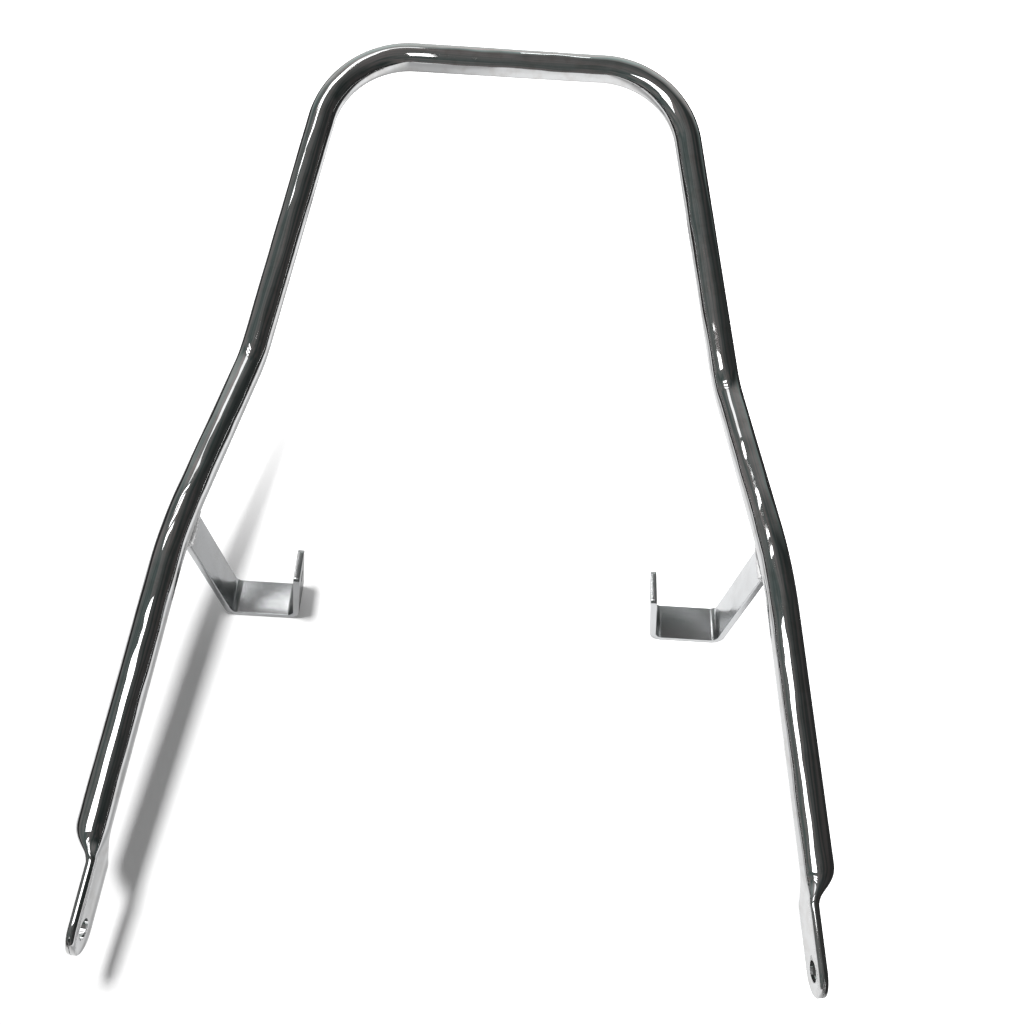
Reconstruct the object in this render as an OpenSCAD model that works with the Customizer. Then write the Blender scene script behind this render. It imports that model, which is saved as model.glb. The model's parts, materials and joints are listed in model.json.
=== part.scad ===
// Grab bar for the back of a moped seat: one bent round tube with flattened,
// drilled ends, and two flat steel brackets welded under its legs.
// Lengths are in millimetres. The bar is modelled as it lies on its bracket plates,
// with X across the moped, Y from the feet to the hand rail and Z upwards.
// The origin is midway between the two bracket plates, on the surface they lie on.

/* [Tube] */
// Outside diameter of the tube
tube_d = 14; // [12:0.5:18]
// Wall thickness of the tube
tube_wall = 1.6; // [1.2:0.1:2.4]

/* [Bend points of the centre line] */
// Width between the two top corners, where the straight lines would meet
top_w = 174; // [160:1:200]
// Distance of the hand rail behind the brackets
top_y = 249; // [220:1:280]
// Height of the hand rail
top_z = 135; // [115:1:160]
// Width between the legs at the upper bend
knee_w = 233; // [220:1:245]
// Distance of the upper leg bend behind the brackets
knee_y = 95; // [80:1:115]
// Height of the upper leg bend
knee_z = 75; // [70:1:85]
// Width between the legs at the lower bend
hip_w = 269; // [262:1:280]
// Distance of the lower leg bend behind the brackets
hip_y = -6; // [-12:1:0]
// Height of the lower leg bend
hip_z = 77; // [72:1:84]
// Width between the tube's centre lines at the tips of the feet
foot_w = 304; // [290:1:320]
// Distance of the tips of the feet behind the brackets
foot_y = -181; // [-210:1:-150]
// Height of the tips of the feet
foot_z = 45; // [35:1:60]

/* [Bend radii] */
// Centre line radius of the two top corners
corner_r = 46; // [35:1:55]
// Centre line radius of the upper leg bends
knee_r = 40; // [30:1:80]
// Centre line radius of the lower leg bends
hip_r = 196; // [120:1:240]
// How much the bent stretches are drawn in from the tube's diameter
bend_draw = 0.1; // [0.1:0.05:0.4]

/* [Flattened ends] */
// Length of the flat part, up to the tip
tab_len = 34; // [26:1:45]
// Length over which the round tube is squeezed flat
flare_len = 15; // [10:1:24]
// Distance from where the squeezing starts to the edge of its shoulder
shoulder_at = 7.5; // [4:0.5:9]
// How much thinner the tube is at the edge of the shoulder
shoulder_drop = 3.4; // [2:0.2:5]
// Width of the flat part
tab_w = 20; // [18:0.5:24]
// Diameter of the bolt hole in each flattened end
foot_hole_d = 8.4; // [6:0.1:10]
// Distance of the bolt hole from the tip
foot_hole_in = 10; // [8:0.5:14]

/* [Brackets] */
// Width of the flat bar that the brackets are bent from
strip_w = 18; // [14:1:24]
// Thickness of the flat bar
strip_t = 3; // [2:0.25:4]
// Inside radius of the bends in the flat bar
strip_r = 3.5; // [2:0.25:5]
// Clear length of the bracket's flat plate, between its two bends
plate_len = 24; // [16:1:30]
// Distance of the upright strip from the tube's centre line, towards the middle
strip_off = 2.2; // [0:0.1:3]
// Lean of the upright strip from the vertical, towards the leg, in degrees
strip_lean = 7; // [5:0.5:9]
// Height of the flange above the surface that the plate lies on
flange_h = 40; // [30:1:48]
// Lean of the flange from the vertical, towards the middle, in degrees
flange_lean = 7; // [0:0.5:12]
// Radius of the flange's upper corners
flange_corner_r = 2.5; // [1:0.5:6]
// Diameter of the bolt hole in each flange
flange_hole_d = 6.6; // [5:0.1:9]
// Distance of the bolt hole below the top of the flange
flange_hole_in = 12; // [8:1:18]

/* [Welds] */
// Leg length of the weld round the top of each bracket
weld_leg = 2.4; // [1.5:0.1:3.5]

/* [Hidden] */
$fn = 64;
flare_fn = 32;
// How far a straight run reaches into the bend beside it
lap = 0.5;
// Thickness of the slices that the squeezed part is stretched between
slice = 0.05;
// Overlap of joined shapes and reach of cutters past a surface
over = 1;
// How far a corner's rounding cuts past the edges that it joins
nip = 0.1;
bore_d = tube_d - 2 * tube_wall;
tab_t = 2 * tube_wall;
// The flat part lies flush with the inner side of the round tube
tab_x = -tube_d / 2;
// Size of the slot-shaped section at the shoulder, as far round as the tube
shoulder_t = tube_d - shoulder_drop;
shoulder_w = shoulder_t + PI * shoulder_drop / 2;

// Centre line of the right half, from the middle of the hand rail to the foot
route = [
    [0, top_y, top_z],
    [top_w / 2, top_y, top_z],
    [knee_w / 2, knee_y, knee_z],
    [hip_w / 2, hip_y, hip_z],
    [foot_w / 2, foot_y, foot_z]
];
route_r = [0, corner_r, knee_r, hip_r, 0];
last = len(route) - 1;

function unit(v) = v / norm(v);
// Direction of the straight run that starts at point i
function run_dir(i) = unit(route[i + 1] - route[i]);
function bend_angle(i) = acos(run_dir(i - 1) * run_dir(i));
// Distance from a bend point to where its arc begins
function setback(i) = i == 0 || i == last ? 0 : route_r[i] * tan(bend_angle(i) / 2);
function run_start(i) = route[i] + run_dir(i) * setback(i);
function run_end(i) = route[i + 1] - run_dir(i) * setback(i + 1);
// Frame with the given X, Y and Z directions and origin
function frame(x, y, z, at) = [
    [x[0], y[0], z[0], at[0]],
    [x[1], y[1], z[1], at[1]],
    [x[2], y[2], z[2], at[2]],
    [0, 0, 0, 1]
];
// Frame of a run: Z along it, X level and pointing outwards as far as it can
function side_dir(d) = unit(abs(d[0]) > 0.9 ? cross([0, 0, 1], d) : [1, 0, 0] - d * d[0]);
function run_frame(i, at) =
    let (z = run_dir(i), x = side_dir(z))
    frame(x, cross(z, x), z, at);

flat_start = route[last] - run_dir(last - 1) * (tab_len + flare_len);

// The tube's centre line where the middle of the bracket's strip meets it, at Y = 0
seat_share = knee_y / (knee_y - hip_y);
seat_x = (knee_w + (hip_w - knee_w) * seat_share) / 2;
seat_z = knee_z + (hip_z - knee_z) * seat_share;
// Outside radius of the strip's bends, and the radius of its middle
strip_outer_r = strip_r + strip_t;
strip_mid_r = strip_r + strip_t / 2;
upright_len = (seat_z - strip_outer_r + strip_mid_r * sin(strip_lean)) / cos(strip_lean);
// Distance of the plate's outer and inner ends from the middle of the bar
plate_out = seat_x - strip_off - strip_mid_r * cos(strip_lean) - upright_len * sin(strip_lean);
plate_in = plate_out - plate_len;
flange_len = (flange_h - strip_outer_r) / cos(flange_lean) + strip_r * tan(flange_lean);

// Straight hand rail across the top
module rail(d) {
    reach = run_end(0)[0] + lap;
    translate([-reach, top_y, top_z])
        rotate([0, 90, 0])
            cylinder(d = d, h = 2 * reach);
}

// Straight run i of the right leg
module run(i, d) {
    stop = i == last - 1 ? flat_start : run_end(i);
    lap_end = i == last - 1 ? 0 : lap;
    multmatrix(run_frame(i, run_start(i) - run_dir(i) * lap))
        cylinder(d = d, h = norm(stop - run_start(i)) + lap + lap_end);
}

// Arc of the right half at bend point i, drawn in as a tube is by bending
module bend(i, d) {
    axis = unit(cross(run_dir(i - 1), run_dir(i)));
    inward = cross(axis, run_dir(i - 1));
    centre = run_end(i - 1) + inward * route_r[i];
    multmatrix(frame(-inward, run_dir(i - 1), axis, centre))
        rotate_extrude(angle = bend_angle(i), $fn = 180)
            translate([route_r[i], 0])
                circle(d = d - bend_draw, $fn = 64);
}

// Right leg, from the corner bend to where it is squeezed flat
module round_leg(d) {
    for (i = [1 : last - 1]) run(i, d);
    for (i = [1 : last - 1]) bend(i, d);
}

module both_sides() {
    children();
    mirror([1, 0, 0]) children();
}

module round_slice(d) {
    translate([0, 0, -slice])
        cylinder(d = d - bend_draw, h = slice, $fn = flare_fn);
}

module flat_slice(x, t, w) {
    translate([x, -w / 2, flare_len - slice])
        cube([t, w, slice]);
}

// Slice of the half squeezed tube at its shoulder, made smaller by the given draw
module shoulder_slice(z, draw) {
    t = shoulder_t - draw;
    straight = shoulder_w - shoulder_t;
    translate([-shoulder_drop / 2, 0, z])
        linear_extrude(slice)
            union() {
                square([t, straight], center = true);
                for (side = [-1, 1])
                    translate([0, side * straight / 2])
                        circle(d = t, $fn = flare_fn);
            }
}

// Outside of the squeezed stretch: a rounded shoulder, then down to the flat part
module outer_squeeze() {
    multmatrix(run_frame(last - 1, flat_start)) {
        hull() {
            round_slice(tube_d);
            shoulder_slice(shoulder_at, 0);
        }
        hull() {
            shoulder_slice(shoulder_at - slice, bend_draw);
            flat_slice(tab_x, tab_t, tab_w);
        }
    }
}

// Inside of the squeezed stretch, down to a closed slit
module inner_squeeze() {
    multmatrix(run_frame(last - 1, flat_start))
        hull() {
            round_slice(bore_d);
            flat_slice(tab_x + tube_wall - slice, 2 * slice, tab_w - 4 * tube_wall);
        }
}

// Flat end with a round tip
module flat_tab() {
    straight = tab_len + slice - tab_w / 2;
    multmatrix(run_frame(last - 1, flat_start))
        translate([tab_x, 0, flare_len - slice])
            rotate([0, 90, 0])
                linear_extrude(tab_t)
                    union() {
                        translate([-straight, -tab_w / 2])
                            square([straight, tab_w]);
                        translate([-straight, 0])
                            circle(d = tab_w);
                    }
}

module foot_hole() {
    multmatrix(run_frame(last - 1, route[last] - run_dir(last - 1) * foot_hole_in))
        translate([tab_x - over, 0, 0])
            rotate([0, 90, 0])
                cylinder(d = foot_hole_d, h = tab_t + 2 * over);
}

module bent_tube() {
    color("silver")
        difference() {
            union() {
                rail(tube_d);
                both_sides() {
                    round_leg(tube_d);
                    outer_squeeze();
                    flat_tab();
                }
            }
            rail(bore_d);
            both_sides() {
                round_leg(bore_d);
                inner_squeeze();
                foot_hole();
            }
        }
}

// Points along an arc in the plane, from one angle to another
arc_steps = 12;
function spoke(r, angle) = r * [cos(angle), sin(angle)];
function arc(centre, r, from, to) =
    [for (i = [0 : arc_steps]) centre + spoke(r, from + (to - from) * i / arc_steps)];

// The bracket's outline seen along the moped: flange, plate and upright strip.
// Each end runs straight on from where its bend stops.
plate_bend = [plate_out, strip_outer_r];
flange_bend = [plate_in, strip_outer_r];
upright_angle = 360 - strip_lean;
flange_angle = 180 + flange_lean;
function upright_end(r) =
    plate_bend + spoke(r, upright_angle) + spoke(upright_len, 90 - strip_lean);
function flange_end(r) =
    flange_bend + spoke(r, flange_angle) + spoke(flange_len, 90 + flange_lean);

module strip_outline() {
    polygon(concat(
        [flange_end(strip_outer_r)],
        arc(flange_bend, strip_outer_r, flange_angle, 270),
        arc(plate_bend, strip_outer_r, 270, upright_angle),
        [upright_end(strip_outer_r)],
        [upright_end(strip_r)],
        arc(plate_bend, strip_r, upright_angle, 270),
        arc(flange_bend, strip_r, 270, flange_angle),
        [flange_end(strip_r)]
    ));
}

// What is taken off a square corner of the flat bar to round it
module corner_waste() {
    difference() {
        cube([flange_corner_r + over, flange_corner_r + over, strip_t + 2 * over]);
        cylinder(r = flange_corner_r, h = strip_t + 2 * over);
    }
}

// Bolt hole and rounded corners at the flange's top edge
module flange_cuts() {
    top = flange_end(strip_outer_r);
    corner_x = strip_w / 2 - flange_corner_r + nip;
    translate([top[0], 0, top[1]])
        rotate([0, -flange_lean, 0])
            rotate([0, 90, 0])
                rotate([0, 0, -90]) {
                    translate([0, flange_hole_in, -over])
                        cylinder(d = flange_hole_d, h = strip_t + 2 * over);
                    for (side = [0, 1])
                        mirror([side, 0, 0])
                            translate([corner_x, flange_corner_r - nip, -over])
                                mirror([0, 1, 0])
                                    corner_waste();
                }
}

module bracket_blank() {
    rotate([90, 0, 0])
        linear_extrude(strip_w, center = true)
            strip_outline();
}

// The leg's outside round the bracket, filled in
module leg_skin(d) {
    run(last - 2, d);
    bend(last - 1, d);
    run(last - 1, d);
}

module bracket_piece() {
    difference() {
        bracket_blank();
        flange_cuts();
        leg_skin(tube_d);
    }
}

// Upright strip made fatter all round, as far as the weld spreads over it
module weld_reach() {
    translate([plate_out, 0, strip_outer_r])
        rotate([90, 0, 0])
            rotate([0, 0, -strip_lean])
                translate([strip_r - weld_leg, 0, -strip_w / 2 - weld_leg])
                    cube([strip_t + 2 * weld_leg, upright_len, strip_w + 2 * weld_leg]);
}

// Bead that fills the corner all round between the strip's end and the tube
module weld_piece() {
    difference() {
        intersection() {
            leg_skin(tube_d + 2 * weld_leg);
            weld_reach();
        }
        leg_skin(tube_d);
        bracket_blank();
    }
}

module right_bracket() {
    color("darkgray") bracket_piece();
}

module left_bracket() {
    color("darkgray") mirror([1, 0, 0]) bracket_piece();
}

module right_weld() {
    color("dimgray") weld_piece();
}

module left_weld() {
    color("dimgray") mirror([1, 0, 0]) weld_piece();
}

bent_tube();
left_bracket();
right_bracket();
left_weld();
right_weld();
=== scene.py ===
# %% [markdown]
# This lesson dresses a chromed grab bar for the back of a moped seat. The solids
# come in as a fixed frame: a bent tube, two brackets of flat bar and two welds.
# Their places and sizes are right, so each piece made here lies where its solid
# does and stands for it. The work goes into surfaces that reflect cleanly, edges
# that catch light, weld ripples, and a room that gives chrome something to show.

# %% Load the frame
import json
import math

import bmesh
import bpy
from mathutils import Matrix, Vector
from mathutils.bvhtree import BVHTree

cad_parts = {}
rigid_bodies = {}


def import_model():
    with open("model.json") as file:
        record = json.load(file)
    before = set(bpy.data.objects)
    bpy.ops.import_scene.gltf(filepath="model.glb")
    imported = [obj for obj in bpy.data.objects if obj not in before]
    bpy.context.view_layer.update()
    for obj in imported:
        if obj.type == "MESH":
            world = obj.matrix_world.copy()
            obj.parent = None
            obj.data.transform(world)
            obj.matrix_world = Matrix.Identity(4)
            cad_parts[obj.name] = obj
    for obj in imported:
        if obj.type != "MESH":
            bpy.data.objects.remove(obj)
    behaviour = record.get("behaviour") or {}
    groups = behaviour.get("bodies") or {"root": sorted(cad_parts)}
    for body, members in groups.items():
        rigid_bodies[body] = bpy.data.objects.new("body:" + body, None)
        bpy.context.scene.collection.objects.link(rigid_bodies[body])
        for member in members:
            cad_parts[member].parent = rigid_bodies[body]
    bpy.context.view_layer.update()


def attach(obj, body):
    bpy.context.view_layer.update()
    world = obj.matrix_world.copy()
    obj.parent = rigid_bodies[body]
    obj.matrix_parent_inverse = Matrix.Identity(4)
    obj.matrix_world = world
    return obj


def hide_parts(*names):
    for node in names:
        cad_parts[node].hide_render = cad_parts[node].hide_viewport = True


for leftover in list(bpy.data.objects):
    bpy.data.objects.remove(leftover)
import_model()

# %% [markdown]
# The bar starts as a straight tube that is bent at six places: a wide turn at each
# end of the hand rail, and two slight bends in each leg. A maker's drawing gives the
# points where the straight lines would meet and a bend radius for each. The same
# few numbers are used here, so that the shown tube follows the solid. The radius of
# the tube is a hair smaller, because the round of the solid is a polygon, whose
# flats lie just inside the circle.

# %% Sizes of the tube
MM = 0.001
tube_r = 6.98 * MM
bend_points = [(0, 249, 135), (87, 249, 135), (116.5, 95, 75), (134.5, -6, 77), (152, -181, 45)]
bend_radii = [0, 46, 40, 196, 0]


def point(x, y, z):
    return Vector((x, y, z)) * MM


right_half = [point(*p) for p in bend_points[1:]]
left_half = [Vector((-p.x, p.y, p.z)) for p in reversed(right_half)]
corners = left_half + right_half
radii = [r * MM for r in bend_radii[:0:-1] + bend_radii[1:]]
print("corners", len(corners), "radii in mm", [round(r / MM) for r in radii])

# %% [markdown]
# The centre line is walked from the left foot to the right foot. Straight runs and
# arcs take turns, and a station is set down every few millimetres. Bends get closer
# stations than straights, because a reflection shows every flat spot in a bend.
# A curve with filleted corners would also do, but then the stations could not be
# packed tightly where the ends are squeezed.

# %% Walk the centre line
straight_step = 2.5 * MM
bend_step = 1.3 * MM


def walk(corners, radii):
    """Stations as pairs of place and direction, from the first corner to the last."""
    stations = []
    here = corners[0]
    for before, corner, after, radius in zip(corners, corners[1:], corners[2:], radii[1:]):
        come, go = (corner - before).normalized(), (after - corner).normalized()
        angle = come.angle(go)
        cut = radius * math.tan(angle / 2)
        start = corner - come * cut
        count = math.ceil((start - here).length / straight_step)
        stations += [(here.lerp(start, i / count), come) for i in range(count)]
        axis = come.cross(go).normalized()
        centre = start + axis.cross(come) * radius
        count = math.ceil(radius * angle / bend_step)
        for i in range(count):
            turn = Matrix.Rotation(angle * i / count, 3, axis)
            stations.append((centre + turn @ (start - centre), turn @ come))
        here = corner + go * cut
    count = math.ceil((corners[-1] - here).length / straight_step)
    stations += [(here.lerp(corners[-1], i / count), go) for i in range(count + 1)]
    return stations


stations = walk(corners, radii)
run_length = sum((b[0] - a[0]).length for a, b in zip(stations, stations[1:]))
print("stations", len(stations), "tube length in mm", round(run_length / MM))

# %% [markdown]
# Each end is squeezed flat in a press and drilled. The tube keeps its distance
# round, so it grows wider as it gets thinner, and the tool pushes from the outside
# only, so the flat part stays flush with the inner side of the leg. Every section,
# round or flat, is a slot shape: two half circles and a straight between them. The
# steel resists most where it is folded, so the two edges stay a little thicker than
# the middle. Four numbers a station tell all this: half width, half thickness, shift
# and swell.

# %% Sections of the squeezed ends
tab_len, flare_len, tab_w = 34 * MM, 17.5 * MM, 20 * MM
wall = 1.6 * MM
squeeze_ease = 1.4
fold_swell, swell_from = 0.3, 0.8


def section(from_tip):
    """Half width, half thickness, sideways shift and swell at a distance from the tip."""
    if from_tip >= tab_len + flare_len:
        return tube_r, tube_r, 0.0, 0.0
    share = min(1.0, (tab_len + flare_len - from_tip) / flare_len)
    pressed = (1 - math.cos(math.pi * share ** squeeze_ease)) / 2
    thick = tube_r + (wall - tube_r) * pressed
    wide = tube_r + (tab_w / 2 - tube_r) * pressed
    if from_tip < tab_w / 2:
        wide = math.sqrt(max(0.0, (tab_w / 2) ** 2 - (tab_w / 2 - from_tip) ** 2))
    swell = fold_swell * max(0.0, (pressed - swell_from) / (1 - swell_from))
    return wide, thick, thick - tube_r, swell


# Distances from a tip in mm: round the tip, along the flat part and up the taper
tip_steps = [0, 0.02, 0.08, 0.2, 0.4, 0.7, 1.1, 1.6, 2.3, 3.2, 4.3, 5.6, 7.1, 8.7]
tip_steps += [10 + 2 * i for i in range(12)]
tip_steps += [34 + 0.6 * i for i in range(30)]


def refit_ends(stations):
    """Swaps the evenly spaced stations near both tips for closer ones."""
    keep = tab_len + flare_len + straight_step / 2
    first, last = stations[0], stations[-1]
    middle = [s for s in stations
              if (s[0] - first[0]).length > keep and (s[0] - last[0]).length > keep]
    head = [(first[0] + first[1] * d * MM, first[1]) for d in tip_steps]
    tail = [(last[0] - last[1] * d * MM, last[1]) for d in reversed(tip_steps)]
    return head + middle + tail


stations = refit_ends(stations)
print("stations with the closer ones at the tips", len(stations))

# %% [markdown]
# The tube is a main piece whose shape follows a rule, so Geometry Nodes make its
# skin. The centre line goes in as a chain of edges, with the section numbers and
# two directions kept on each point. The tree sweeps a ring of points along it and
# then sets each point from those numbers. It also keeps, for the material, where a
# point lies round and along the tube.

# %% Helpers for node trees and objects
def add(tree, kind, **settings):
    """New node with the given settings."""
    node = tree.nodes.new(kind)
    for name, value in settings.items():
        setattr(node, name, value)
    return node


def plug(tree, socket, value):
    """Links a socket to another node's socket, or sets it to a plain value."""
    if isinstance(value, bpy.types.NodeSocket):
        tree.links.new(value, socket)
    else:
        socket.default_value = value


def maths(tree, operation, *values):
    node = add(tree, "ShaderNodeMath", operation=operation)
    for socket, value in zip(node.inputs, values):
        plug(tree, socket, value)
    return node.outputs[0]


def vectors(tree, operation, *values):
    node = add(tree, "ShaderNodeVectorMath", operation=operation)
    for socket, value in zip(node.inputs, values):
        plug(tree, socket, value)
    return node.outputs[0]


def scaled(tree, vector, factor):
    node = add(tree, "ShaderNodeVectorMath", operation="SCALE")
    plug(tree, node.inputs[0], vector)
    plug(tree, node.inputs["Scale"], factor)
    return node.outputs[0]


def new_tree(name, inputs):
    """Geometry tree with a geometry going in and out, and named inputs."""
    tree = bpy.data.node_groups.new(name, "GeometryNodeTree")
    tree.interface.new_socket("Geometry", in_out="INPUT", socket_type="NodeSocketGeometry")
    for label, kind, value in inputs:
        socket = tree.interface.new_socket(label, in_out="INPUT", socket_type=kind)
        if value is not None:
            socket.default_value = value
    tree.interface.new_socket("Geometry", in_out="OUTPUT", socket_type="NodeSocketGeometry")
    return tree, add(tree, "NodeGroupInput"), add(tree, "NodeGroupOutput")


def named(tree, name, kind="FLOAT"):
    node = add(tree, "GeometryNodeInputNamedAttribute", data_type=kind)
    node.inputs["Name"].default_value = name
    return node.outputs["Attribute"]


def keep(tree, geometry, name, value, kind="FLOAT"):
    node = add(tree, "GeometryNodeStoreNamedAttribute", data_type=kind, domain="POINT")
    plug(tree, node.inputs["Geometry"], geometry)
    node.inputs["Name"].default_value = name
    plug(tree, node.inputs["Value"], value)
    return node.outputs["Geometry"]


def ramp_of(tree, value, low, high, at_low, at_high, kind="SMOOTHSTEP"):
    """Step from one value to another between two places, soft unless told otherwise."""
    step = add(tree, "ShaderNodeMapRange", interpolation_type=kind)
    plug(tree, step.inputs["Value"], value)
    for label, number in (("From Min", low), ("From Max", high),
                          ("To Min", at_low), ("To Max", at_high)):
        plug(tree, step.inputs[label], number)
    return step.outputs["Result"]


def end_tree(tree, geometry, source, result):
    """Makes what the tree built real, gives it the material and sends it out."""
    real = add(tree, "GeometryNodeRealizeInstances")
    plug(tree, real.inputs["Geometry"], geometry)
    painted = add(tree, "GeometryNodeSetMaterial")
    plug(tree, painted.inputs["Geometry"], real.outputs["Geometry"])
    plug(tree, painted.inputs["Material"], source.outputs["Material"])
    plug(tree, result.inputs["Geometry"], painted.outputs["Geometry"])


def put(name, data):
    """Object of a mesh, a lamp or a camera, linked to the scene."""
    piece = bpy.data.objects.new(name, data)
    bpy.context.scene.collection.objects.link(piece)
    return piece


def put_form(name, form):
    """Object with the mesh of a finished bmesh, which is freed."""
    mesh = bpy.data.meshes.new(name)
    form.to_mesh(mesh)
    form.free()
    return put(name, mesh)


print("helpers ready")

# %% Tree that sweeps a slot-shaped section
fold_begins, fold_full = 0.5, 0.85


def sweep_tree():
    tree, source, result = new_tree("Sweep a slot section", [
        ("Points round", "NodeSocketInt", 64),
        ("Merge distance", "NodeSocketFloat", 2e-6),
        ("Material", "NodeSocketMaterial", None),
    ])
    line = add(tree, "GeometryNodeMeshToCurve")
    plug(tree, line.inputs["Mesh"], source.outputs["Geometry"])
    ring = add(tree, "GeometryNodeCurvePrimitiveCircle")
    plug(tree, ring.inputs["Resolution"], source.outputs["Points round"])
    share = maths(tree, "DIVIDE", add(tree, "GeometryNodeInputIndex").outputs[0],
                  source.outputs["Points round"])
    profile = keep(tree, ring.outputs["Curve"], "round_angle",
                   maths(tree, "MULTIPLY", share, math.tau))
    sweep = add(tree, "GeometryNodeCurveToMesh")
    plug(tree, sweep.inputs["Curve"], line.outputs["Curve"])
    plug(tree, sweep.inputs["Profile Curve"], profile)
    angle = maths(tree, "SUBTRACT", named(tree, "round_angle"), named(tree, "turn"))
    wide, thick = named(tree, "half_width"), named(tree, "half_thick")
    across = maths(tree, "MULTIPLY", wide, maths(tree, "SINE", angle))
    fold = ramp_of(tree, maths(tree, "ABSOLUTE", maths(tree, "SINE", angle)),
                   fold_begins, fold_full, 0.0, 1.0)
    swell = maths(tree, "MULTIPLY", fold, named(tree, "swell"))
    thick = maths(tree, "MULTIPLY", thick, maths(tree, "ADD", swell, 1.0))
    past = maths(tree, "SUBTRACT", maths(tree, "ABSOLUTE", across),
                 maths(tree, "SUBTRACT", wide, thick))
    past = maths(tree, "MINIMUM", maths(tree, "MAXIMUM", past, 0.0), thick)
    height = maths(tree, "SQRT", maths(tree, "SUBTRACT", maths(tree, "MULTIPLY", thick, thick),
                                       maths(tree, "MULTIPLY", past, past)))
    side = maths(tree, "SIGN", maths(tree, "COSINE", angle))
    out = maths(tree, "MULTIPLY_ADD", height, side, named(tree, "shift"))
    place = vectors(tree, "ADD", named(tree, "centre", "FLOAT_VECTOR"),
                    scaled(tree, named(tree, "out_dir", "FLOAT_VECTOR"), out))
    place = vectors(tree, "ADD", place,
                    scaled(tree, named(tree, "up_dir", "FLOAT_VECTOR"), across))
    moved = add(tree, "GeometryNodeSetPosition")
    plug(tree, moved.inputs["Geometry"], sweep.outputs["Mesh"])
    plug(tree, moved.inputs["Position"], place)
    unrolled = add(tree, "ShaderNodeCombineXYZ")
    plug(tree, unrolled.inputs["X"], maths(tree, "COSINE", named(tree, "round_angle")))
    plug(tree, unrolled.inputs["Y"], maths(tree, "SINE", named(tree, "round_angle")))
    plug(tree, unrolled.inputs["Z"], maths(tree, "DIVIDE", named(tree, "along"), tube_r))
    skin = keep(tree, moved.outputs["Geometry"], "skin", unrolled.outputs[0], "FLOAT_VECTOR")
    merged = add(tree, "GeometryNodeMergeByDistance")
    plug(tree, merged.inputs["Geometry"], skin)
    plug(tree, merged.inputs["Distance"], source.outputs["Merge distance"])
    end_tree(tree, merged.outputs["Geometry"], source, result)
    return tree


sweep = sweep_tree()
print("sweep tree with", len(sweep.nodes), "nodes")

# %% [markdown]
# The ring of points must not twist on its way round the bends, or the skin would
# wring like a wet cloth. So its first direction is carried along: at each station
# it is tipped only as much as the tube itself tips. At the far foot it no longer
# points straight outwards, and the angle between the two is what "turn" holds.

# %% Centre line with its numbers
def outward(direction, side):
    """Level direction away from the middle, as far as it can be, square to the tube."""
    level = Vector((side, 0, 0))
    return (level - direction * direction.dot(level)).normalized()


def chain(name, stations):
    """Mesh of edges along the stations, with the numbers of the sections on its points."""
    mesh = bpy.data.meshes.new(name)
    mesh.from_pydata([s[0] for s in stations], [(i, i + 1) for i in range(len(stations) - 1)], [])
    values = {k: [] for k in ("centre", "out_dir", "up_dir")}
    numbers = {k: [] for k in ("half_width", "half_thick", "shift", "swell", "turn", "along")}
    carried = outward(stations[0][1], -1)
    along, last_place = 0.0, stations[0][0]
    for place, direction in stations:
        along += (place - last_place).length
        last_place = place
        carried = (carried - direction * carried.dot(direction)).normalized()
        beside = direction.cross(carried)
        from_tip = min((place - corners[0]).length, (place - corners[-1]).length)
        wide, thick, shift, swell = section(from_tip)
        out_dir, turn = carried, 0.0
        if thick < tube_r:
            out_dir = outward(direction, 1 if place.x > 0 else -1)
            turn = math.atan2(out_dir.dot(beside), out_dir.dot(carried))
        values["centre"].append(place)
        values["out_dir"].append(out_dir)
        values["up_dir"].append(direction.cross(out_dir))
        for key, value in zip(numbers, (wide, thick, shift, swell, turn, along)):
            numbers[key].append(value)
    for key, rows in values.items():
        layer = mesh.attributes.new(key, "FLOAT_VECTOR", "POINT")
        layer.data.foreach_set("vector", [c for row in rows for c in row])
    for key, row in numbers.items():
        mesh.attributes.new(key, "FLOAT", "POINT").data.foreach_set("value", row)
    return put(name, mesh)


tube = chain("chrome_tube", stations)
print("points on the centre line", len(tube.data.vertices))

# %% [markdown]
# A finished piece is a plain mesh, because the tables and exports that follow read
# meshes. So the tree or any other modifier is evaluated once, its result is put in
# the object, and the modifiers go. Loose doubles are merged, all faces are turned
# outwards, and edges sharper than a given angle are marked so that round parts
# shade smoothly and cut edges stay crisp.

# %% Make a piece final
def settle(piece, sharp=40):
    """Puts the evaluated mesh in the piece, drops its modifiers and shades it."""
    depsgraph = bpy.context.evaluated_depsgraph_get()
    mesh = bpy.data.meshes.new_from_object(piece.evaluated_get(depsgraph))
    piece.modifiers.clear()
    old, piece.data = piece.data, mesh
    bpy.data.meshes.remove(old)
    mesh.name = piece.name
    form = bmesh.new()
    form.from_mesh(mesh)
    bmesh.ops.remove_doubles(form, verts=form.verts, dist=1e-6)
    bmesh.ops.dissolve_degenerate(form, edges=form.edges, dist=1e-7)
    bmesh.ops.recalc_face_normals(form, faces=form.faces)
    limit = math.radians(sharp)
    for face in form.faces:
        face.smooth = True
    for edge in form.edges:
        edge.smooth = edge.is_manifold and edge.calc_face_angle(0) < limit
    open_edges = sum(not edge.is_manifold for edge in form.edges)
    form.to_mesh(mesh)
    form.free()
    print(piece.name, "faces", len(mesh.polygons), "open edges", open_edges)
    return piece


def run_tree(piece, tree, **inputs):
    """Adds the tree as a modifier, with its inputs set by the sockets' identifiers."""
    modifier = piece.modifiers.new(tree.name, "NODES")
    modifier.node_group = tree
    for item in tree.interface.items_tree:
        if item.in_out == "INPUT" and item.name in inputs:
            modifier[item.identifier] = inputs[item.name]


tube_chrome = bpy.data.materials.new("tube_chrome")
run_tree(tube, sweep, Material=tube_chrome)
settle(tube)

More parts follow.
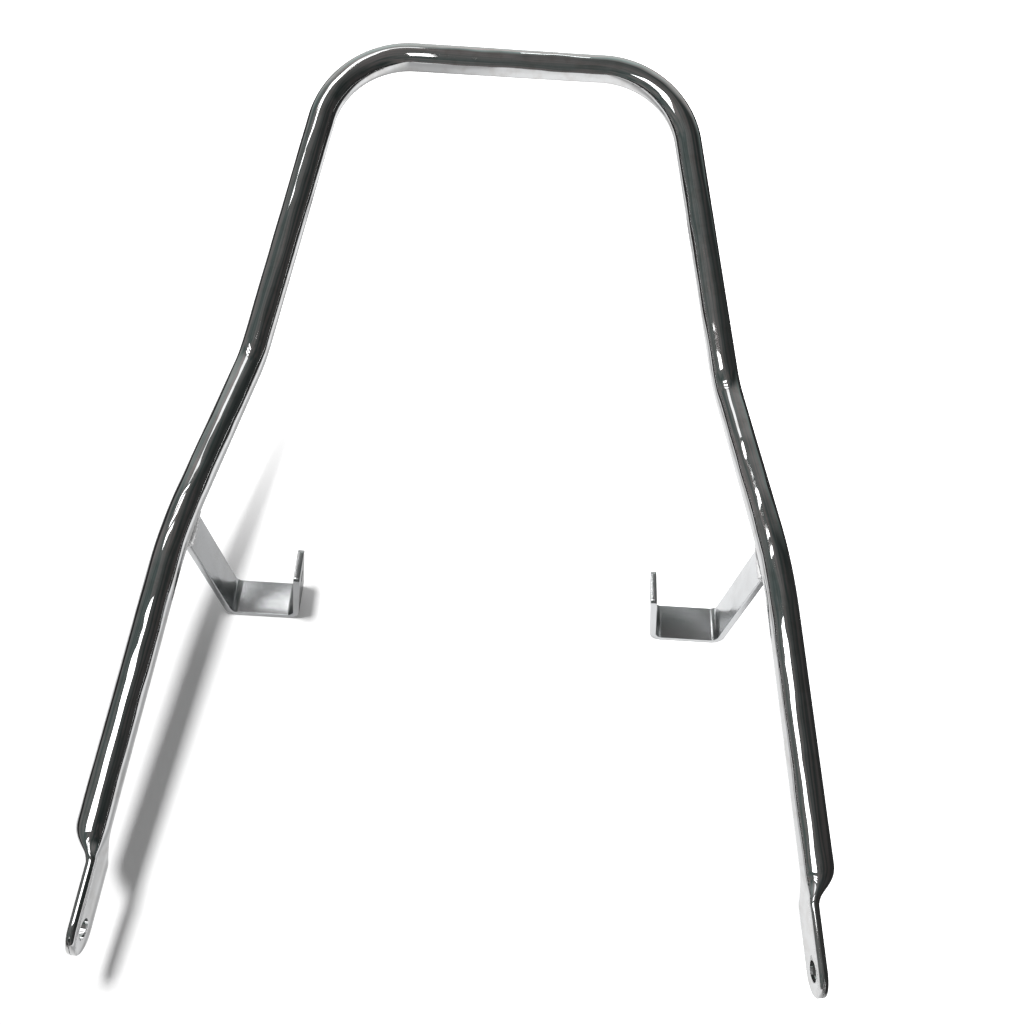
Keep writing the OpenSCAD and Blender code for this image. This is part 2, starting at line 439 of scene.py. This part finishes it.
# %% [markdown]
# The flat ends are drilled for bolts, and the open end of the tube shows as a fine
# slit round the tip where the two pressed walls meet. Both are cuts. A boolean
# with a round pin and with a thin part of a ring makes them, as a drill and a gap
# would. A copy of the uncut tube is kept, because the brackets are coped with it.

# %% Cut the bolt holes and the slits
def prism(name, outline, depth, matrix):
    """Closed solid from a flat outline, centred on its plane, put in place by a matrix."""
    form = bmesh.new()
    low = [form.verts.new((x, y, -depth / 2)) for x, y in outline]
    high = [form.verts.new((x, y, depth / 2)) for x, y in outline]
    form.faces.new(reversed(low))
    form.faces.new(high)
    for i in range(len(low)):
        j = (i + 1) % len(low)
        form.faces.new((low[i], low[j], high[j], high[i]))
    form.transform(matrix)
    bmesh.ops.recalc_face_normals(form, faces=form.faces)
    return put_form(name, form)


def circle(radius, count, start=0.0, stop=math.tau):
    """Points on a circle, or on an arc with both its ends."""
    step = (stop - start) / count
    full = abs(stop - start) > math.tau - 1e-6
    return [(radius * math.cos(start + step * i), radius * math.sin(start + step * i))
            for i in range(count if full else count + 1)]


def cut(piece, cutters):
    """Takes the cutters away from the piece and deletes them."""
    for cutter in cutters:
        modifier = piece.modifiers.new("cut", "BOOLEAN")
        modifier.operation, modifier.solver = "DIFFERENCE", "EXACT"
        modifier.object = cutter
    settle(piece)
    for cutter in cutters:
        bpy.data.meshes.remove(cutter.data)


def axes(x, y, z, place):
    """Matrix with the given directions and place."""
    matrix = Matrix((x, y, z)).transposed().to_4x4()
    matrix.translation = place
    return matrix


hole_r, drill_deep = 4.2 * MM, 6 * MM
slit_wide, slit_deep, slit_past = 0.22 * MM, 0.9 * MM, 1 * MM
slit_reach = math.radians(68)
leg_tree = BVHTree.FromPolygons([v.co for v in tube.data.vertices],
                                [p.vertices for p in tube.data.polygons])
leg = put("uncut_tube", tube.data.copy())
cutters = []
for side, tip, direction in ((-1, stations[0][0], -stations[0][1]),
                             (1, stations[-1][0], stations[-1][1])):
    out_dir = outward(direction, side)
    middle = tip - direction * (tab_w / 2) + out_dir * (wall - tube_r)
    matrix = axes(direction, out_dir.cross(direction), out_dir, middle)
    cutters.append(prism("drill", circle(hole_r, 40), drill_deep, matrix))
    ring = circle(tab_w / 2 - slit_deep, 20, slit_reach, -slit_reach)
    ring += circle(tab_w / 2 + slit_past, 20, -slit_reach, slit_reach)
    cutters.append(prism("slit", ring, slit_wide, matrix))
cut(tube, cutters)

# %% [markdown]
# Each bracket is a length of 18 by 3 mm flat bar, bent twice: a short flange with
# a bolt hole, a level plate, and a long upright that leans against the leg. Its
# outline seen along the moped is a chain of straights and arcs, pushed out to the
# width of the bar. Sheared bar has slightly broken edges, and these are what shows
# as bright lines on the real brackets, so every sharp edge gets a small bevel.

# %% Outline of the flat bar
strip_w, strip_t, strip_r = 18 * MM, 3 * MM, 3.5 * MM
plate_out, plate_in = 117.55 * MM, 93.55 * MM
strip_lean, flange_lean = math.radians(7), math.radians(7)
flange_h, flange_hole_r, flange_hole_in = 40 * MM, 3.3 * MM, 12 * MM
outer_r = strip_r + strip_t
upright_len = 75 * MM
flange_len = (flange_h - outer_r) / math.cos(flange_lean) + strip_r * math.tan(flange_lean)
plate_bend = Vector((plate_out, outer_r))
flange_bend = Vector((plate_in, outer_r))


def spoke(r, angle):
    return Vector((math.cos(angle), math.sin(angle))) * r


def arc(centre, r, start, stop, count=14):
    return [centre + spoke(r, start + (stop - start) * i / count) for i in range(count + 1)]


down = math.radians(270)
upright_angle, flange_angle = math.tau - strip_lean, math.pi + flange_lean
upright_way = spoke(1, math.pi / 2 - strip_lean)
flange_way = spoke(1, math.pi / 2 + flange_lean)


def bar_side(r):
    """One long side of the bent bar, from the flange's top to the upright's."""
    side = arc(flange_bend, r, flange_angle, down) + arc(plate_bend, r, down, upright_angle)
    return [side[0] + flange_way * flange_len] + side + [side[-1] + upright_way * upright_len]


outline = bar_side(outer_r) + bar_side(strip_r)[::-1]
print("points in the outline", len(outline))

# %% Bend, drill and cope a bracket
edge_break, flange_corner_r = 0.3 * MM, 2.5 * MM
sharp_from = math.radians(50)
flange_drill_deep = 8 * MM


def flat_bar(name):
    """Bent bar of the right leg, with rounded flange corners and broken edges."""
    form = bmesh.new()
    near = [form.verts.new((p.x, -strip_w / 2, p.y)) for p in outline]
    far = [form.verts.new((p.x, strip_w / 2, p.y)) for p in outline]
    form.faces.new(near)
    form.faces.new(reversed(far))
    for i in range(len(near)):
        j = (i + 1) % len(near)
        form.faces.new((near[j], near[i], far[i], far[j]))
    bmesh.ops.recalc_face_normals(form, faces=form.faces)
    flange_top = [e for e in form.edges
                  if all(v.co.z > flange_h - strip_t and v.co.x < plate_in for v in e.verts)
                  and abs(e.verts[0].co.y - e.verts[1].co.y) < MM]
    bmesh.ops.bevel(form, geom=flange_top, offset=flange_corner_r, segments=8, profile=0.5,
                    affect="EDGES")
    sharp_edges = [e for e in form.edges if e.calc_face_angle(0) > sharp_from]
    bmesh.ops.bevel(form, geom=sharp_edges, offset=edge_break, segments=3, profile=0.5,
                    affect="EDGES", clamp_overlap=True)
    return put_form(name, form)


def upright(flat):
    """The outline's own x and y as x and z of the scene."""
    return Vector((flat.x, 0, flat.y))


bolt_place = flange_bend + spoke(strip_r + strip_t / 2, flange_angle)
bolt_place += flange_way * (flange_len - flange_hole_in)
bolt_axis = spoke(1, flange_angle)
bolt_matrix = axes(Vector((0, 1, 0)), upright(-flange_way), upright(bolt_axis),
                   upright(bolt_place))
right_strip = flat_bar("right_strip")
drill = prism("drill", circle(flange_hole_r, 36), flange_drill_deep, bolt_matrix)
cut(right_strip, [drill, leg])


def twin(piece, name):
    """Mirror image of a piece across the middle of the bar."""
    form = bmesh.new()
    form.from_mesh(piece.data)
    form.transform(Matrix.Diagonal((-1, 1, 1, 1)))
    bmesh.ops.reverse_faces(form, faces=form.faces)
    return put_form(name, form)


left_strip = twin(right_strip, "left_strip")
print("strip top in mm", round(max(v.co.z for v in right_strip.data.vertices) / MM, 1))

# %% [markdown]
# The upright is welded to the leg all the way round its end. A hand-laid bead is a
# row of overlapping puddles, one each time the welder stops for a moment. The seam
# is found by looking up along the strip from its outline until the tube is met.
# Geometry Nodes then set a flattened puddle at even steps along that seam, and the
# puddles are fused into one skin, as molten metal is.

# %% Find the seam
up_strip = upright(upright_way)
through = Vector((up_strip.z, 0, -up_strip.x))
strip_foot = upright(plate_bend + spoke(strip_r + strip_t / 2, upright_angle))
look_from = strip_foot + up_strip * 30 * MM


def seam_loop():
    """Points round the end of the strip where it meets the tube, with outward ways."""
    half_t, half_w = strip_t / 2, strip_w / 2
    found = []
    for along_t, along_w, count in ((1, 0, 24), (0, 1, 4), (-1, 0, 24), (0, -1, 4)):
        for i in range(count):
            share = (i + 0.5) / count * 2 - 1
            across = Vector((along_t, along_w)) + Vector((-along_w, along_t)) * share
            offset = through * across.x * half_t + Vector((0, across.y * half_w, 0))
            hit, normal, _, _ = leg_tree.ray_cast(look_from + offset, up_strip)
            away = (through * along_t + Vector((0, along_w, 0))).normalized()
            found.append((hit, normal, away))
    return found


seam = seam_loop()
seam_length = sum((a[0] - b[0]).length for a, b in zip(seam, seam[1:] + seam[:1]))
print("seam points", len(seam), "length in mm", round(seam_length / MM, 1))

# %% Tree that lays puddles along a seam
puddle_flatness = 0.62
bead_rise, bead_stand_off = 0.35 * MM, 0.55 * MM
fuse_grain = 0.22 * MM


def bead_tree():
    tree, source, result = new_tree("Weld puddles", [
        ("Pitch", "NodeSocketFloat", 1.3 * MM),
        ("Radius", "NodeSocketFloat", 1.7 * MM),
        ("Unevenness", "NodeSocketFloat", 0.12),
        ("Seed", "NodeSocketInt", 5),
        ("Material", "NodeSocketMaterial", None),
    ])
    line = add(tree, "GeometryNodeMeshToCurve")
    plug(tree, line.inputs["Mesh"], source.outputs["Geometry"])
    spread = add(tree, "GeometryNodeResampleCurve", mode="LENGTH")
    plug(tree, spread.inputs["Curve"], line.outputs["Curve"])
    plug(tree, spread.inputs["Length"], source.outputs["Pitch"])
    puddle = add(tree, "GeometryNodeMeshIcoSphere")
    plug(tree, puddle.inputs["Radius"], source.outputs["Radius"])
    puddle.inputs["Subdivisions"].default_value = 3
    aim = add(tree, "FunctionNodeAlignRotationToVector", axis="Z")
    plug(tree, aim.inputs["Vector"], add(tree, "GeometryNodeInputTangent").outputs[0])
    wobble = add(tree, "FunctionNodeRandomValue", data_type="FLOAT")
    plug(tree, wobble.inputs[2], maths(tree, "SUBTRACT", 1.0, source.outputs["Unevenness"]))
    plug(tree, wobble.inputs[3], maths(tree, "ADD", 1.0, source.outputs["Unevenness"]))
    plug(tree, wobble.inputs["Seed"], source.outputs["Seed"])
    size = add(tree, "ShaderNodeCombineXYZ")
    plug(tree, size.inputs["X"], wobble.outputs[1])
    plug(tree, size.inputs["Y"], wobble.outputs[1])
    size.inputs["Z"].default_value = puddle_flatness
    laid = add(tree, "GeometryNodeInstanceOnPoints")
    plug(tree, laid.inputs["Points"], spread.outputs["Curve"])
    plug(tree, laid.inputs["Instance"], puddle.outputs["Mesh"])
    plug(tree, laid.inputs["Rotation"], aim.outputs["Rotation"])
    plug(tree, laid.inputs["Scale"], size.outputs[0])
    end_tree(tree, laid.outputs["Instances"], source, result)
    return tree


puddles = bead_tree()
weld_metal = bpy.data.materials.new("weld_metal")


def lay_bead(name):
    """Fused weld bead round the end of the right strip."""
    places = [hit + away * bead_stand_off + normal * bead_rise for hit, normal, away in seam]
    mesh = bpy.data.meshes.new(name)
    mesh.from_pydata(places, [(i, (i + 1) % len(places)) for i in range(len(places))], [])
    piece = put(name, mesh)
    run_tree(piece, puddles, Material=weld_metal)
    fuse = piece.modifiers.new("fuse", "REMESH")
    fuse.mode, fuse.voxel_size = "VOXEL", fuse_grain
    soften = piece.modifiers.new("soften", "SMOOTH")
    soften.factor, soften.iterations = 0.5, 3
    return settle(piece, sharp=180)


right_bead = lay_bead("right_weld_bead")
left_bead = twin(right_bead, "left_weld_bead")

# %% [markdown]
# Chrome has almost no colour of its own, so what makes it look real is in its
# surface: hair-fine polishing lines that run round the tube, faint hazy patches, and
# a slight unevenness that bends reflections of straight lamps. Steel flat bar under
# a thin plating has the same marks, only stronger. One node group makes them for all
# the metals here, and each metal uses it with its own amounts.

# %% Group with polishing marks
def noise(tree, vector, scale, detail, roughness=0.5):
    """Grey noise at a place, as a number from 0 to 1."""
    node = add(tree, "ShaderNodeTexNoise")
    for label, value in (("Vector", vector), ("Scale", scale), ("Detail", detail),
                         ("Roughness", roughness)):
        plug(tree, node.inputs[label], value)
    return node.outputs["Fac"]


def marks_group():
    """Shader group: marks of working and handling, as a tone, a roughness and a height."""
    tree = bpy.data.node_groups.new("Metal marks", "ShaderNodeTree")
    for label, kind, value in (("Place", "NodeSocketVector", None),
                               ("Line stretch", "NodeSocketVector", None),
                               ("Line scale", "NodeSocketFloat", 900.0),
                               ("Patch scale", "NodeSocketFloat", 40.0),
                               ("Roughness low", "NodeSocketFloat", 0.03),
                               ("Roughness high", "NodeSocketFloat", 0.1),
                               ("Clean", "NodeSocketColor", (0.6, 0.6, 0.6, 1)),
                               ("Dull", "NodeSocketColor", (0.5, 0.5, 0.5, 1))):
        socket = tree.interface.new_socket(label, in_out="INPUT", socket_type=kind)
        if value is not None:
            socket.default_value = value
    for label, kind in (("Tone", "NodeSocketColor"), ("Roughness", "NodeSocketFloat"),
                        ("Height", "NodeSocketFloat"), ("Lines", "NodeSocketFloat"),
                        ("Waves", "NodeSocketFloat")):
        tree.interface.new_socket(label, in_out="OUTPUT", socket_type=kind)
    source, result = add(tree, "NodeGroupInput"), add(tree, "NodeGroupOutput")
    place, patch_scale = source.outputs["Place"], source.outputs["Patch scale"]
    lines = noise(tree, vectors(tree, "MULTIPLY", place, source.outputs["Line stretch"]),
                  source.outputs["Line scale"], detail=3.0)
    patches = noise(tree, place, patch_scale, detail=4.0, roughness=0.6)
    waves = noise(tree, vectors(tree, "MULTIPLY", place, (1.0, 1.0, 0.35)),
                  maths(tree, "MULTIPLY", patch_scale, 0.6), detail=1.0)
    haze = ramp_of(tree, patches, 0.42, 0.7, 0.0, 1.0)
    worn = maths(tree, "MULTIPLY_ADD", lines, 0.5, maths(tree, "MULTIPLY", haze, 0.5))
    rough = ramp_of(tree, worn, 0.15, 0.75, source.outputs["Roughness low"],
                    source.outputs["Roughness high"], kind="LINEAR")
    tone = add(tree, "ShaderNodeMix", data_type="RGBA")
    plug(tree, tone.inputs["Factor"], haze)
    plug(tree, tone.inputs["A"], source.outputs["Clean"])
    plug(tree, tone.inputs["B"], source.outputs["Dull"])
    for label, value in (("Tone", tone.outputs["Result"]), ("Roughness", rough),
                         ("Height", patches), ("Lines", lines), ("Waves", waves)):
        plug(tree, result.inputs[label], value)
    return tree


marks = marks_group()
print("marks group with", len(marks.nodes), "nodes")

# %% Helper that starts a material
def metal(material, place, values, bump=0.0, bump_from="Height", distance=0.1 * MM):
    """Principled metal fed by the marks group, with the given values in the group."""
    material.use_nodes = True
    tree = material.node_tree
    shader = tree.nodes["Principled BSDF"]
    shader.inputs["Metallic"].default_value = 1.0
    group = add(tree, "ShaderNodeGroup", node_tree=marks)
    for name, value in values.items():
        group.inputs[name].default_value = value
    plug(tree, group.inputs["Place"], place(tree))
    plug(tree, shader.inputs["Base Color"], group.outputs["Tone"])
    plug(tree, shader.inputs["Roughness"], group.outputs["Roughness"])
    if bump:
        relief = add(tree, "ShaderNodeBump")
        relief.inputs["Strength"].default_value = bump
        relief.inputs["Distance"].default_value = distance
        plug(tree, relief.inputs["Height"], group.outputs[bump_from])
        plug(tree, shader.inputs["Normal"], relief.outputs["Normal"])
    return material


def own_skin(tree):
    """Place on the tube as the sweep kept it: round the tube and along it."""
    node = add(tree, "ShaderNodeAttribute", attribute_type="GEOMETRY", attribute_name="skin")
    return node.outputs["Vector"]


def own_place(tree):
    """Place in the object's own space."""
    return add(tree, "ShaderNodeTexCoord").outputs["Object"]


def own_parts(tree):
    """X, Y and Z of a place in the object's own space."""
    parts = add(tree, "ShaderNodeSeparateXYZ")
    plug(tree, parts.inputs[0], own_place(tree))
    return parts.outputs


print("metal helper ready")

# %% [markdown]
# The tube is bright chrome. Its marks follow the tube, so they are laid on the
# unrolled skin and not on flat space: polishing lines run round it, and the drawn
# steel below gives long faint waves that make the edges of a reflection wander.

# %% Chrome of the tube
metal(tube_chrome, own_skin, {
    "Line stretch": (1.0, 1.0, 14.0), "Line scale": 9.0, "Patch scale": 1.3,
    "Roughness low": 0.02, "Roughness high": 0.07,
    "Clean": (0.56, 0.565, 0.57, 1), "Dull": (0.5, 0.495, 0.49, 1),
}, bump=0.6, bump_from="Waves", distance=1.2 * MM)
print("nodes in the chrome", len(tube_chrome.node_tree.nodes))

# %% [markdown]
# The brackets are flat bar under the same bath of chrome, but the rolled steel was
# never polished. It shines softly, with a grain that runs along the bar.

# %% Plated steel of the brackets and welds
bracket_steel = metal(bpy.data.materials.new("bracket_steel"), own_place, {
    "Line stretch": (1.0, 9.0, 1.0), "Line scale": 260.0, "Patch scale": 30.0,
    "Roughness low": 0.2, "Roughness high": 0.27,
    "Clean": (0.56, 0.57, 0.58, 1), "Dull": (0.5, 0.505, 0.51, 1),
}, bump=0.12, bump_from="Lines", distance=0.02 * MM)
metal(weld_metal, own_place, {
    "Line stretch": (1.0, 1.0, 1.0), "Line scale": 1400.0, "Patch scale": 300.0,
    "Roughness low": 0.16, "Roughness high": 0.4,
    "Clean": (0.6, 0.6, 0.6, 1), "Dull": (0.46, 0.45, 0.44, 1),
}, bump=0.5, distance=0.05 * MM)
for strip in (left_strip, right_strip):
    strip.data.materials.clear()
    strip.data.materials.append(bracket_steel)
print("materials", [m.name for m in (tube_chrome, bracket_steel, weld_metal)])

# %% [markdown]
# Every piece here stands for one solid and rides on the one body of the bar.

# %% Put the pieces on the frame
for piece, node, slot in ((tube, "bent_tube", "tube_chrome"),
                          (left_strip, "left_bracket", "bracket_steel"),
                          (right_strip, "right_bracket", "bracket_steel"),
                          (left_bead, "left_weld", "weld_metal"),
                          (right_bead, "right_weld", "weld_metal")):
    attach(piece, "root")
    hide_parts(node)

# %% [markdown]
# The bar lies on a white table with its brackets down. The table is lit white for
# the camera and for reflections, but part of it stays plain paint, so that the
# shadow of the left leg is kept. More painted glow on the right and far sides
# washes the shadow out there, as a bright window would, and so does a wide ring of
# painted glow that keeps the far table white where the lamp no longer reaches. To
# reflections the table fades out beside the bar, so that the rims of the chrome stay
# crisp, and a strip of it inside the left leg is darkened as a painted shadow of
# that leg, so that the inner side of that leg is grey.

# %% Table
def sheet_of(name, width, depth, matrix=Matrix.Identity(4)):
    mesh = bpy.data.meshes.new(name)
    x, y = width / 2, depth / 2
    mesh.from_pydata([(-x, -y, 0), (x, -y, 0), (x, y, 0), (-x, y, 0)], [], [(0, 1, 2, 3)])
    mesh.transform(matrix)
    piece = put(name, mesh)
    return piece


def seen(tree):
    """1 for rays from the camera and for rays that a gloss or glass sends on."""
    path = add(tree, "ShaderNodeLightPath")
    both = maths(tree, "MAXIMUM", path.outputs["Is Camera Ray"], path.outputs["Is Glossy Ray"])
    return maths(tree, "MAXIMUM", both, path.outputs["Is Transmission Ray"])


def beside(tree, x, line):
    """Distance to the left or right of a line that runs along the bar."""
    return maths(tree, "ABSOLUTE", maths(tree, "SUBTRACT", x, line))


table_size, table_tone = 12, 0.82
# The second line is the middle of a painted shadow of the left leg, which darkens the table in
# reflections.
bar_line, painted_shadow_line = -0.045, -0.075
table = sheet_of("table", table_size, table_size)
paint = bpy.data.materials.new("table_paint")
paint.use_nodes = True
tree = paint.node_tree
shader = tree.nodes["Principled BSDF"]
shader.inputs["Roughness"].default_value = 0.9
shader.inputs["Specular IOR Level"].default_value = 0.0
shader.inputs["Emission Color"].default_value = (1, 1, 1, 1)
spot = own_parts(tree)
# near fades the table for reflections beside the bar, and its second ramp is the painted shadow
# of the left leg.
near = maths(tree, "MULTIPLY",
             ramp_of(tree, beside(tree, spot["X"], bar_line), 0.16, 0.26, 0.95, 0.03),
             ramp_of(tree, beside(tree, spot["X"], painted_shadow_line), 0.02, 0.09, 0.6, 1.1))
gloss = add(tree, "ShaderNodeLightPath").outputs["Is Glossy Ray"]
kept = maths(tree, "MULTIPLY_ADD", gloss, maths(tree, "SUBTRACT", near, 1.0), 1.0)
white = add(tree, "ShaderNodeCombineColor")
for channel in white.inputs:
    plug(tree, channel, maths(tree, "MULTIPLY", kept, table_tone))
plug(tree, shader.inputs["Base Color"], white.outputs[0])
# Painted glow: the table's own light, stronger to the right, far off and all round, washes the
# shadows out there.
right_glow = ramp_of(tree, spot["X"], -0.095, 0.06, 0.0, 0.9)
far_glow = ramp_of(tree, spot["Y"], -0.04, 0.13, 0.0, 0.85)
from_bar = add(tree, "ShaderNodeVectorMath", operation="LENGTH")
plug(tree, from_bar.inputs[0], own_place(tree))
wide_glow = ramp_of(tree, from_bar.outputs["Value"], 0.3, 0.9, 0.0, 0.95)
all_glow = maths(tree, "MAXIMUM", maths(tree, "ADD", right_glow, far_glow), wide_glow)
shown_glow = maths(tree, "MULTIPLY", seen(tree), all_glow)
less = maths(tree, "MULTIPLY_ADD", gloss, maths(tree, "MULTIPLY_ADD", near, 0.15, -1.0), 1.0)
plug(tree, shader.inputs["Emission Strength"], maths(tree, "MULTIPLY", shown_glow, less))
table.data.materials.append(paint)
print("table ready")

# %% [markdown]
# Chrome shows the room, so the room matters as much as the bar. A dark hall hangs
# over the table as a dome that only reflections see. Its left side is a little
# lighter than its right, and the wall behind the hand rail is pale. Lamp panels
# hang one or two metres above the table, most of them left of the bar. The front
# one gives the streak along the lower legs, the row of narrow ones the dots at the
# upper bends, the back one the softer streak between the two bends of a leg, and
# the smallest one the short streak on the hand rail.

# %% Hall for the reflections
def only_reflected(piece):
    piece.visible_camera = piece.visible_diffuse = piece.visible_shadow = False
    piece.visible_transmission = piece.visible_volume_scatter = False


hall_r, rim = 4.0, -0.01
form = bmesh.new()
bmesh.ops.create_uvsphere(form, u_segments=48, v_segments=24, radius=hall_r)
bmesh.ops.delete(form, geom=[v for v in form.verts if v.co.z < rim], context="VERTS")
dome = put_form("hall", form)
only_reflected(dome)
hall = bpy.data.materials.new("hall_walls")
hall.use_nodes = True
tree = hall.node_tree
tree.nodes.remove(tree.nodes["Principled BSDF"])
light = add(tree, "ShaderNodeEmission")
patches = noise(tree, own_place(tree), scale=0.9, detail=3.0)
tint = add(tree, "ShaderNodeValToRGB")
plug(tree, tint.inputs["Fac"], patches)
cool, warm = (0.78, 1.0, 0.96, 1), (1.0, 0.92, 0.9, 1)
for stop, position, colour in zip(tint.color_ramp.elements, (0.35, 0.62), (cool, warm)):
    stop.position, stop.color = position, colour
spot = own_parts(tree)
sides = ramp_of(tree, spot["X"], -0.6 * hall_r, 0.8 * hall_r, 0.2, 0.05)
wall_light = ramp_of(tree, spot["Y"], 0.45 * hall_r, hall_r, 0.0, 0.7)
uneven = maths(tree, "MULTIPLY_ADD", patches, 2.4, -0.2)
plug(tree, light.inputs["Strength"], maths(tree, "MULTIPLY_ADD", sides, uneven, wall_light))
plug(tree, light.inputs["Color"], tint.outputs["Color"])
plug(tree, tree.nodes["Material Output"].inputs["Surface"], light.outputs[0])
dome.data.materials.append(hall)


def lamp_glass(strength):
    """Plain glowing panel."""
    material = bpy.data.materials.new("lamp_glass")
    material.use_nodes = True
    tree = material.node_tree
    tree.nodes.remove(tree.nodes["Principled BSDF"])
    light = add(tree, "ShaderNodeEmission")
    light.inputs["Strength"].default_value = strength
    plug(tree, tree.nodes["Material Output"].inputs["Surface"], light.outputs[0])
    return material


def hall_lamp(name, place, width, depth, glass):
    """Level panel over the table that only shows in reflections."""
    lamp = sheet_of(name, width, depth, Matrix.Translation(place))
    only_reflected(lamp)
    lamp.data.materials.append(glass)


bright_glass, soft_glass = lamp_glass(5.0), lamp_glass(1.7)
hall_lamp("lamp_front", (-0.37, -0.17, 0.9), 0.52, 0.34, bright_glass)
for i in range(3):
    hall_lamp(f"lamp_row_{i}", (-0.85, 0.64 + 0.25 * i, 2.0), 0.9, 0.12, bright_glass)
hall_lamp("lamp_back", (-0.33, 0.84, 1.1), 0.36, 0.24, soft_glass)
hall_lamp("lamp_rail", (0.06, 1.25, 1.1), 0.09, 0.12, bright_glass)

# %% [markdown]
# The light that falls on things is kept apart from what chrome shows. One soft lamp
# high above the bar, a little to its left, throws the leg's shadow just beside it,
# and an even pale sky fills the rest, so that a colour shows about as it is written.

# %% Lamp and sky
key_way, key_away = Vector((-0.1, 0.0, 1.0)).normalized(), 3.0
sky_on_things, sky_seen = 0.28, 1.0
key_data = bpy.data.lights.new("key", "AREA")
key_data.shape, key_data.size, key_data.size_y = "RECTANGLE", 0.46, 0.36
key_data.energy = 90.0
key = put("key", key_data)
key.location = key_way * key_away
key.rotation_euler = key_way.to_track_quat("Z", "Y").to_euler()
key.visible_glossy = key.visible_camera = False

world = bpy.data.worlds.new("sky")
bpy.context.scene.world = world
world.use_nodes = True
tree = world.node_tree
sky = tree.nodes["Background"]
sky.inputs["Color"].default_value = (1, 1, 1, 1)
plug(tree, sky.inputs["Strength"],
     maths(tree, "MULTIPLY_ADD", seen(tree), sky_seen - sky_on_things, sky_on_things))
print("key lamp", round(key_data.energy), "W")

# %% [markdown]
# The camera stands half a metre up, in front of the feet. It looks down at about 59
# degrees and towards the hand rail, a little turned and rolled, as a hand-held camera
# is. How far away it stands follows from the width that the tube has in the picture.

# %% Camera
camera_data = bpy.data.cameras.new("camera")
camera_data.sensor_width, camera_data.lens = 36.0, 41.64
camera = put("camera", camera_data)
camera_place = Vector((0.01112, -0.26707, 0.53614))
yaw, pitch, roll = (math.radians(a) for a in (0.762, 58.556, 4.103))
ahead = Vector((math.sin(yaw) * math.cos(pitch), math.cos(yaw) * math.cos(pitch),
                -math.sin(pitch)))
level = Vector((math.cos(yaw), -math.sin(yaw), 0))
rise = level.cross(ahead)
right = level * math.cos(roll) + rise * math.sin(roll)
top = rise * math.cos(roll) - level * math.sin(roll)
camera.matrix_world = axes(right, top, -ahead, camera_place)
bpy.context.scene.camera = camera
bpy.context.scene.view_settings.view_transform = "Standard"
print("camera at", [round(c, 3) for c in camera.location])

# %% [markdown]
# Last, the scene is brought up to date.

# %% The end
bpy.context.view_layer.update()
